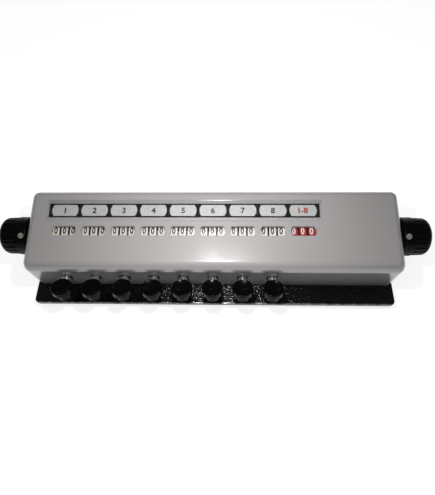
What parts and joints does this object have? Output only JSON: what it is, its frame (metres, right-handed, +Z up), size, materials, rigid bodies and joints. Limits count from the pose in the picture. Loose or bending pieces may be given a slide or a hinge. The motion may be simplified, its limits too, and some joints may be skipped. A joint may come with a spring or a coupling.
{
  "type": "differential cell counter",
  "caption": "Desktop tally counter with push keys, three-digit number windows, a total counter and a reset knob at each end.",
  "frame": {"origin": "on the table under the middle of the base plate", "axes": "+X to the user's right along the row of keys, +Y from the user to the back, +Z up"},
  "size_m": [0.349, 0.0874, 0.0536],
  "materials": {
    "cover_paint": "glossy light warm grey enamel",
    "base_paint": "black wrinkle enamel",
    "foot_rubber": "matt black rubber",
    "label_black": "printed black label",
    "guard_clear": "clear acrylic, polished",
    "frame_steel": "zinc-plated sheet",
    "bright_steel": "ground steel",
    "bush_brass": "turned brass",
    "knob_black": "glossy black moulded plastic",
    "key_black": "glossy black moulded plastic",
    "nickel": "nickel plate",
    "stem_chrome": "bright chrome plate",
    "wheel_white": "white moulded plastic",
    "wheel_red": "red moulded plastic"
  },
  "bodies": {
    "root": {"cover": "cover_paint", "base_plate": "base_paint", "rubber_feet": "foot_rubber", "label_strip": "label_black", "label_guard": "guard_clear", "left_end_plate": "frame_steel", "right_end_plate": "frame_steel", "key_comb": "frame_steel", "key_rod": "bright_steel", "key_springs": "bright_steel", "shaft_bushes": "bush_brass", "base_screws": "bright_steel"},
    "key_1": {"key_lever_1": "stem_chrome", "key_knob_1": "key_black"},
    "key_2": {"key_lever_2": "stem_chrome", "key_knob_2": "key_black"},
    "key_3": {"key_lever_3": "stem_chrome", "key_knob_3": "key_black"},
    "key_4": {"key_lever_4": "stem_chrome", "key_knob_4": "key_black"},
    "key_5": {"key_lever_5": "stem_chrome", "key_knob_5": "key_black"},
    "key_6": {"key_lever_6": "stem_chrome", "key_knob_6": "key_black"},
    "key_7": {"key_lever_7": "stem_chrome", "key_knob_7": "key_black"},
    "key_8": {"key_lever_8": "stem_chrome", "key_knob_8": "key_black"},
    "total_bar": {"total_bar": "frame_steel"},
    "reset": {"reset_shaft": "bright_steel", "left_reset_knob": "knob_black", "right_reset_knob": "knob_black", "knob_set_screws": "nickel"},
    "units_wheel_1": {"units_wheel_1": "wheel_white"},
    "tens_wheel_1": {"tens_wheel_1": "wheel_white"},
    "hundreds_wheel_1": {"hundreds_wheel_1": "wheel_white"},
    "units_wheel_2": {"units_wheel_2": "wheel_white"},
    "tens_wheel_2": {"tens_wheel_2": "wheel_white"},
    "hundreds_wheel_2": {"hundreds_wheel_2": "wheel_white"},
    "units_wheel_3": {"units_wheel_3": "wheel_white"},
    "tens_wheel_3": {"tens_wheel_3": "wheel_white"},
    "hundreds_wheel_3": {"hundreds_wheel_3": "wheel_white"},
    "units_wheel_4": {"units_wheel_4": "wheel_white"},
    "tens_wheel_4": {"tens_wheel_4": "wheel_white"},
    "hundreds_wheel_4": {"hundreds_wheel_4": "wheel_white"},
    "units_wheel_5": {"units_wheel_5": "wheel_white"},
    "tens_wheel_5": {"tens_wheel_5": "wheel_white"},
    "hundreds_wheel_5": {"hundreds_wheel_5": "wheel_white"},
    "units_wheel_6": {"units_wheel_6": "wheel_white"},
    "tens_wheel_6": {"tens_wheel_6": "wheel_white"},
    "hundreds_wheel_6": {"hundreds_wheel_6": "wheel_white"},
    "units_wheel_7": {"units_wheel_7": "wheel_white"},
    "tens_wheel_7": {"tens_wheel_7": "wheel_white"},
    "hundreds_wheel_7": {"hundreds_wheel_7": "wheel_white"},
    "units_wheel_8": {"units_wheel_8": "wheel_white"},
    "tens_wheel_8": {"tens_wheel_8": "wheel_white"},
    "hundreds_wheel_8": {"hundreds_wheel_8": "wheel_white"},
    "units_wheel_total": {"units_wheel_total": "wheel_red"},
    "tens_wheel_total": {"tens_wheel_total": "wheel_red"},
    "hundreds_wheel_total": {"hundreds_wheel_total": "wheel_red"}
  },
  "joints": [
    {"name": "key_1_press", "type": "hinge", "parent": "root", "child": "key_1", "pos_m": [-0.1194, 0.03425, 0.0182], "axis": [1, 0, 0], "range_deg": [0, 4.5], "stiffness_Nm_per_rad": 0.7, "springref_deg": -6.53},
    {"name": "key_2_press", "type": "hinge", "parent": "root", "child": "key_2", "pos_m": [-0.0954, 0.03425, 0.0182], "axis": [1, 0, 0], "range_deg": [0, 4.5], "stiffness_Nm_per_rad": 0.7, "springref_deg": -6.53},
    {"name": "key_3_press", "type": "hinge", "parent": "root", "child": "key_3", "pos_m": [-0.0714, 0.03425, 0.0182], "axis": [1, 0, 0], "range_deg": [0, 4.5], "stiffness_Nm_per_rad": 0.7, "springref_deg": -6.53},
    {"name": "key_4_press", "type": "hinge", "parent": "root", "child": "key_4", "pos_m": [-0.0474, 0.03425, 0.0182], "axis": [1, 0, 0], "range_deg": [0, 4.5], "stiffness_Nm_per_rad": 0.7, "springref_deg": -6.53},
    {"name": "key_5_press", "type": "hinge", "parent": "root", "child": "key_5", "pos_m": [-0.0234, 0.03425, 0.0182], "axis": [1, 0, 0], "range_deg": [0, 4.5], "stiffness_Nm_per_rad": 0.7, "springref_deg": -6.53},
    {"name": "key_6_press", "type": "hinge", "parent": "root", "child": "key_6", "pos_m": [0.0006, 0.03425, 0.0182], "axis": [1, 0, 0], "range_deg": [0, 4.5], "stiffness_Nm_per_rad": 0.7, "springref_deg": -6.53},
    {"name": "key_7_press", "type": "hinge", "parent": "root", "child": "key_7", "pos_m": [0.0246, 0.03425, 0.0182], "axis": [1, 0, 0], "range_deg": [0, 4.5], "stiffness_Nm_per_rad": 0.7, "springref_deg": -6.53},
    {"name": "key_8_press", "type": "hinge", "parent": "root", "child": "key_8", "pos_m": [0.0486, 0.03425, 0.0182], "axis": [1, 0, 0], "range_deg": [0, 4.5], "stiffness_Nm_per_rad": 0.7, "springref_deg": -6.53},
    {"name": "total_bar_swing", "type": "hinge", "parent": "root", "child": "total_bar", "pos_m": [0, 0.03425, 0.0182], "axis": [1, 0, 0], "range_deg": [0, 4.5], "stiffness_Nm_per_rad": 0.5, "springref_deg": -5.73},
    {"name": "reset_turn", "type": "hinge", "parent": "root", "child": "reset", "pos_m": [0, 0.01125, 0.0317], "axis": [1, 0, 0], "continuous": true},
    {"name": "units_1_turn", "type": "hinge", "parent": "root", "child": "units_wheel_1", "pos_m": [-0.11245, 0.01125, 0.0317], "axis": [1, 0, 0], "continuous": true},
    {"name": "tens_1_turn", "type": "hinge", "parent": "root", "child": "tens_wheel_1", "pos_m": [-0.1194, 0.01125, 0.0317], "axis": [1, 0, 0], "continuous": true},
    {"name": "hundreds_1_turn", "type": "hinge", "parent": "root", "child": "hundreds_wheel_1", "pos_m": [-0.12635, 0.01125, 0.0317], "axis": [1, 0, 0], "continuous": true},
    {"name": "units_2_turn", "type": "hinge", "parent": "root", "child": "units_wheel_2", "pos_m": [-0.08845, 0.01125, 0.0317], "axis": [1, 0, 0], "continuous": true},
    {"name": "tens_2_turn", "type": "hinge", "parent": "root", "child": "tens_wheel_2", "pos_m": [-0.0954, 0.01125, 0.0317], "axis": [1, 0, 0], "continuous": true},
    {"name": "hundreds_2_turn", "type": "hinge", "parent": "root", "child": "hundreds_wheel_2", "pos_m": [-0.10235, 0.01125, 0.0317], "axis": [1, 0, 0], "continuous": true},
    {"name": "units_3_turn", "type": "hinge", "parent": "root", "child": "units_wheel_3", "pos_m": [-0.06445, 0.01125, 0.0317], "axis": [1, 0, 0], "continuous": true},
    {"name": "tens_3_turn", "type": "hinge", "parent": "root", "child": "tens_wheel_3", "pos_m": [-0.0714, 0.01125, 0.0317], "axis": [1, 0, 0], "continuous": true},
    {"name": "hundreds_3_turn", "type": "hinge", "parent": "root", "child": "hundreds_wheel_3", "pos_m": [-0.07835, 0.01125, 0.0317], "axis": [1, 0, 0], "continuous": true},
    {"name": "units_4_turn", "type": "hinge", "parent": "root", "child": "units_wheel_4", "pos_m": [-0.04045, 0.01125, 0.0317], "axis": [1, 0, 0], "continuous": true},
    {"name": "tens_4_turn", "type": "hinge", "parent": "root", "child": "tens_wheel_4", "pos_m": [-0.0474, 0.01125, 0.0317], "axis": [1, 0, 0], "continuous": true},
    {"name": "hundreds_4_turn", "type": "hinge", "parent": "root", "child": "hundreds_wheel_4", "pos_m": [-0.05435, 0.01125, 0.0317], "axis": [1, 0, 0], "continuous": true},
    {"name": "units_5_turn", "type": "hinge", "parent": "root", "child": "units_wheel_5", "pos_m": [-0.01645, 0.01125, 0.0317], "axis": [1, 0, 0], "continuous": true},
    {"name": "tens_5_turn", "type": "hinge", "parent": "root", "child": "tens_wheel_5", "pos_m": [-0.0234, 0.01125, 0.0317], "axis": [1, 0, 0], "continuous": true},
    {"name": "hundreds_5_turn", "type": "hinge", "parent": "root", "child": "hundreds_wheel_5", "pos_m": [-0.03035, 0.01125, 0.0317], "axis": [1, 0, 0], "continuous": true},
    {"name": "units_6_turn", "type": "hinge", "parent": "root", "child": "units_wheel_6", "pos_m": [0.00755, 0.01125, 0.0317], "axis": [1, 0, 0], "continuous": true},
    {"name": "tens_6_turn", "type": "hinge", "parent": "root", "child": "tens_wheel_6", "pos_m": [0.0006, 0.01125, 0.0317], "axis": [1, 0, 0], "continuous": true},
    {"name": "hundreds_6_turn", "type": "hinge", "parent": "root", "child": "hundreds_wheel_6", "pos_m": [-0.00635, 0.01125, 0.0317], "axis": [1, 0, 0], "continuous": true},
    {"name": "units_7_turn", "type": "hinge", "parent": "root", "child": "units_wheel_7", "pos_m": [0.03155, 0.01125, 0.0317], "axis": [1, 0, 0], "continuous": true},
    {"name": "tens_7_turn", "type": "hinge", "parent": "root", "child": "tens_wheel_7", "pos_m": [0.0246, 0.01125, 0.0317], "axis": [1, 0, 0], "continuous": true},
    {"name": "hundreds_7_turn", "type": "hinge", "parent": "root", "child": "hundreds_wheel_7", "pos_m": [0.01765, 0.01125, 0.0317], "axis": [1, 0, 0], "continuous": true},
    {"name": "units_8_turn", "type": "hinge", "parent": "root", "child": "units_wheel_8", "pos_m": [0.05555, 0.01125, 0.0317], "axis": [1, 0, 0], "continuous": true},
    {"name": "tens_8_turn", "type": "hinge", "parent": "root", "child": "tens_wheel_8", "pos_m": [0.0486, 0.01125, 0.0317], "axis": [1, 0, 0], "continuous": true},
    {"name": "hundreds_8_turn", "type": "hinge", "parent": "root", "child": "hundreds_wheel_8", "pos_m": [0.04165, 0.01125, 0.0317], "axis": [1, 0, 0], "continuous": true},
    {"name": "units_total_turn", "type": "hinge", "parent": "root", "child": "units_wheel_total", "pos_m": [0.07955, 0.01125, 0.0317], "axis": [1, 0, 0], "continuous": true},
    {"name": "tens_total_turn", "type": "hinge", "parent": "root", "child": "tens_wheel_total", "pos_m": [0.0726, 0.01125, 0.0317], "axis": [1, 0, 0], "continuous": true},
    {"name": "hundreds_total_turn", "type": "hinge", "parent": "root", "child": "hundreds_wheel_total", "pos_m": [0.06565, 0.01125, 0.0317], "axis": [1, 0, 0], "continuous": true}
  ],
  "couplings": [
    {"joint": "tens_1_turn", "follows": "units_1_turn", "ratio": 0.1},
    {"joint": "hundreds_1_turn", "follows": "units_1_turn", "ratio": 0.01},
    {"joint": "tens_2_turn", "follows": "units_2_turn", "ratio": 0.1},
    {"joint": "hundreds_2_turn", "follows": "units_2_turn", "ratio": 0.01},
    {"joint": "tens_3_turn", "follows": "units_3_turn", "ratio": 0.1},
    {"joint": "hundreds_3_turn", "follows": "units_3_turn", "ratio": 0.01},
    {"joint": "tens_4_turn", "follows": "units_4_turn", "ratio": 0.1},
    {"joint": "hundreds_4_turn", "follows": "units_4_turn", "ratio": 0.01},
    {"joint": "tens_5_turn", "follows": "units_5_turn", "ratio": 0.1},
    {"joint": "hundreds_5_turn", "follows": "units_5_turn", "ratio": 0.01},
    {"joint": "tens_6_turn", "follows": "units_6_turn", "ratio": 0.1},
    {"joint": "hundreds_6_turn", "follows": "units_6_turn", "ratio": 0.01},
    {"joint": "tens_7_turn", "follows": "units_7_turn", "ratio": 0.1},
    {"joint": "hundreds_7_turn", "follows": "units_7_turn", "ratio": 0.01},
    {"joint": "tens_8_turn", "follows": "units_8_turn", "ratio": 0.1},
    {"joint": "hundreds_8_turn", "follows": "units_8_turn", "ratio": 0.01},
    {"joint": "tens_total_turn", "follows": "units_total_turn", "ratio": 0.1},
    {"joint": "hundreds_total_turn", "follows": "units_total_turn", "ratio": 0.01}
  ]
}
